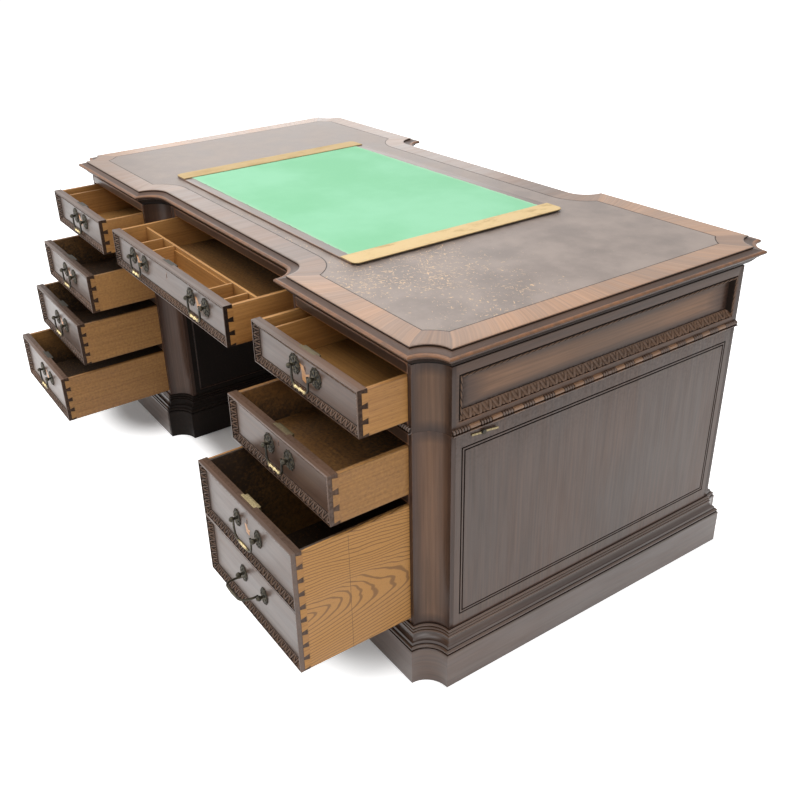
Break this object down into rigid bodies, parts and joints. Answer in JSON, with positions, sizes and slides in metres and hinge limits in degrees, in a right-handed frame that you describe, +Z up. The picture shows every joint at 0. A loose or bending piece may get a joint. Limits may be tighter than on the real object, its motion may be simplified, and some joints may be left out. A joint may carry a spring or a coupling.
{
  "type": "partners desk",
  "caption": "Mahogany twin-pedestal partners desk with a leather top, carved drawers standing open, bail handles, rear cupboards and a loose blotter.",
  "frame": {"origin": "on the floor under the middle of the desk, between the pedestals", "axes": "+X runs along the desk to the right as seen from the front, +Y to the back, +Z up; the open drawers are on the -Y side"},
  "size_m": [1.836, 1.2625, 0.783],
  "materials": {
    "mahogany": "worn french polish, dark brown",
    "oak": "unpolished golden oak",
    "dark_bronze": "dark patina, worn bright where it is held",
    "brass": "aged polished brass",
    "leather": "worn dark brown hide with tan scuffs",
    "green_paper": "matt blotting paper",
    "gilt_strip": "worn matt brass"
  },
  "bodies": {
    "desk": {"top_board": "mahogany", "leather_top": "leather", "frieze_frame": "mahogany", "left_pedestal": "mahogany", "right_pedestal": "mahogany", "plinths": "mahogany", "drawer_runners": "oak", "case_brass": "brass"},
    "left_frieze_drawer": {"left_frieze_front": "mahogany", "left_frieze_box": "oak", "left_frieze_brass": "dark_bronze"},
    "left_frieze_bail": {"left_frieze_bail": "dark_bronze"},
    "left_upper_drawer": {"left_upper_front": "mahogany", "left_upper_box": "oak", "left_upper_brass": "dark_bronze"},
    "left_upper_bail": {"left_upper_bail": "dark_bronze"},
    "left_middle_drawer": {"left_middle_front": "mahogany", "left_middle_box": "oak", "left_middle_brass": "dark_bronze"},
    "left_middle_bail": {"left_middle_bail": "dark_bronze"},
    "left_lower_drawer": {"left_lower_front": "mahogany", "left_lower_box": "oak", "left_lower_brass": "dark_bronze"},
    "left_lower_bail": {"left_lower_bail": "dark_bronze"},
    "centre_drawer": {"centre_front": "mahogany", "centre_box": "oak", "centre_brass": "dark_bronze"},
    "centre_bail_1": {"centre_bail_1": "dark_bronze"},
    "centre_bail_2": {"centre_bail_2": "dark_bronze"},
    "right_frieze_drawer": {"right_frieze_front": "mahogany", "right_frieze_box": "oak", "right_frieze_brass": "dark_bronze"},
    "right_frieze_bail": {"right_frieze_bail": "dark_bronze"},
    "right_upper_drawer": {"right_upper_front": "mahogany", "right_upper_box": "oak", "right_upper_brass": "dark_bronze"},
    "right_upper_bail": {"right_upper_bail": "dark_bronze"},
    "right_deep_drawer": {"right_deep_front": "mahogany", "right_deep_box": "oak", "right_deep_brass": "dark_bronze"},
    "right_deep_bail_1": {"right_deep_bail_1": "dark_bronze"},
    "right_deep_bail_2": {"right_deep_bail_2": "dark_bronze"},
    "back_left_drawer": {"back_left_drawer": "mahogany", "back_left_brass": "dark_bronze"},
    "back_left_bail": {"back_left_bail": "dark_bronze"},
    "back_centre_drawer": {"back_centre_drawer": "mahogany", "back_centre_brass": "dark_bronze"},
    "back_centre_bail_1": {"back_centre_bail_1": "dark_bronze"},
    "back_centre_bail_2": {"back_centre_bail_2": "dark_bronze"},
    "back_right_drawer": {"back_right_drawer": "mahogany", "back_right_brass": "dark_bronze"},
    "back_right_bail": {"back_right_bail": "dark_bronze"},
    "left_cupboard_door": {"left_door": "mahogany", "left_door_brass": "brass"},
    "right_cupboard_door": {"right_door": "mahogany", "right_door_brass": "brass"},
    "catch": {"catch_hook": "brass"},
    "blotter": {"blotter_board": "mahogany", "blotter_paper": "green_paper", "blotter_strips": "gilt_strip"}
  },
  "joints": [
    {"name": "left_frieze_slide", "type": "slide", "parent": "desk", "child": "left_frieze_drawer", "axis": [0, -1, 0], "range_m": [-0.129, 0.219]},
    {"name": "left_frieze_bail_swing", "type": "hinge", "parent": "left_frieze_drawer", "child": "left_frieze_bail", "pos_m": [-0.628, -0.5875, 0.6675], "axis": [-1, 0, 0], "range_deg": [0, 100]},
    {"name": "left_upper_slide", "type": "slide", "parent": "desk", "child": "left_upper_drawer", "axis": [0, -1, 0], "range_m": [-0.189, 0.159]},
    {"name": "left_upper_bail_swing", "type": "hinge", "parent": "left_upper_drawer", "child": "left_upper_bail", "pos_m": [-0.628, -0.6475, 0.5125], "axis": [-1, 0, 0], "range_deg": [0, 100]},
    {"name": "left_middle_slide", "type": "slide", "parent": "desk", "child": "left_middle_drawer", "axis": [0, -1, 0], "range_m": [-0.24, 0.108]},
    {"name": "left_middle_bail_swing", "type": "hinge", "parent": "left_middle_drawer", "child": "left_middle_bail", "pos_m": [-0.628, -0.6985, 0.371], "axis": [-1, 0, 0], "range_deg": [0, 100]},
    {"name": "left_lower_slide", "type": "slide", "parent": "desk", "child": "left_lower_drawer", "axis": [0, -1, 0], "range_m": [-0.314, 0.034]},
    {"name": "left_lower_bail_swing", "type": "hinge", "parent": "left_lower_drawer", "child": "left_lower_bail", "pos_m": [-0.628, -0.7725, 0.2165], "axis": [-1, 0, 0], "range_deg": [0, 100]},
    {"name": "centre_slide", "type": "slide", "parent": "desk", "child": "centre_drawer", "axis": [0, -1, 0], "range_m": [-0.183, 0.119]},
    {"name": "centre_bail_1_swing", "type": "hinge", "parent": "centre_drawer", "child": "centre_bail_1", "pos_m": [-0.179, -0.5835, 0.6675], "axis": [-1, 0, 0], "range_deg": [0, 100]},
    {"name": "centre_bail_2_swing", "type": "hinge", "parent": "centre_drawer", "child": "centre_bail_2", "pos_m": [0.179, -0.5835, 0.6675], "axis": [-1, 0, 0], "range_deg": [0, 100]},
    {"name": "right_frieze_slide", "type": "slide", "parent": "desk", "child": "right_frieze_drawer", "axis": [0, -1, 0], "range_m": [-0.108, 0.24]},
    {"name": "right_frieze_bail_swing", "type": "hinge", "parent": "right_frieze_drawer", "child": "right_frieze_bail", "pos_m": [0.628, -0.5665, 0.6675], "axis": [-1, 0, 0], "range_deg": [0, 100]},
    {"name": "right_upper_slide", "type": "slide", "parent": "desk", "child": "right_upper_drawer", "axis": [0, -1, 0], "range_m": [-0.178, 0.17]},
    {"name": "right_upper_bail_swing", "type": "hinge", "parent": "right_upper_drawer", "child": "right_upper_bail", "pos_m": [0.628, -0.6365, 0.5125], "axis": [-1, 0, 0], "range_deg": [0, 100]},
    {"name": "right_deep_slide", "type": "slide", "parent": "desk", "child": "right_deep_drawer", "axis": [0, -1, 0], "range_m": [-0.263, 0.085]},
    {"name": "right_deep_bail_1_swing", "type": "hinge", "parent": "right_deep_drawer", "child": "right_deep_bail_1", "pos_m": [0.628, -0.7215, 0.36475], "axis": [-1, 0, 0], "range_deg": [0, 100]},
    {"name": "right_deep_bail_2_swing", "type": "hinge", "parent": "right_deep_drawer", "child": "right_deep_bail_2", "pos_m": [0.628, -0.7215, 0.2224], "axis": [-1, 0, 0], "range_deg": [-95, 5]},
    {"name": "back_left_slide", "type": "slide", "parent": "desk", "child": "back_left_drawer", "axis": [0, 1, 0], "range_m": [0, 0.348]},
    {"name": "back_left_bail_swing", "type": "hinge", "parent": "back_left_drawer", "child": "back_left_bail", "pos_m": [-0.628, 0.4585, 0.6675], "axis": [1, 0, 0], "range_deg": [0, 100]},
    {"name": "back_centre_slide", "type": "slide", "parent": "desk", "child": "back_centre_drawer", "axis": [0, 1, 0], "range_m": [0, 0.302]},
    {"name": "back_centre_bail_1_swing", "type": "hinge", "parent": "back_centre_drawer", "child": "back_centre_bail_1", "pos_m": [-0.179, 0.4005, 0.6675], "axis": [1, 0, 0], "range_deg": [0, 100]},
    {"name": "back_centre_bail_2_swing", "type": "hinge", "parent": "back_centre_drawer", "child": "back_centre_bail_2", "pos_m": [0.179, 0.4005, 0.6675], "axis": [1, 0, 0], "range_deg": [0, 100]},
    {"name": "back_right_slide", "type": "slide", "parent": "desk", "child": "back_right_drawer", "axis": [0, 1, 0], "range_m": [0, 0.348]},
    {"name": "back_right_bail_swing", "type": "hinge", "parent": "back_right_drawer", "child": "back_right_bail", "pos_m": [0.628, 0.4585, 0.6675], "axis": [1, 0, 0], "range_deg": [0, 100]},
    {"name": "left_door_hinge", "type": "hinge", "parent": "desk", "child": "left_cupboard_door", "pos_m": [-0.827, 0.4593, 0.352], "axis": [0, 0, 1], "range_deg": [0, 110]},
    {"name": "right_door_hinge", "type": "hinge", "parent": "desk", "child": "right_cupboard_door", "pos_m": [0.827, 0.4593, 0.352], "axis": [0, 0, -1], "range_deg": [0, 110]},
    {"name": "catch_turn", "type": "hinge", "parent": "desk", "child": "catch", "pos_m": [0.889, -0.328, 0.577], "axis": [-1, 0, 0], "range_deg": [0, 90]},
    {"name": "blotter_lift", "type": "slide", "parent": "desk", "child": "blotter", "axis": [0, 0, 1], "range_m": [0, 0.12]}
  ]
}
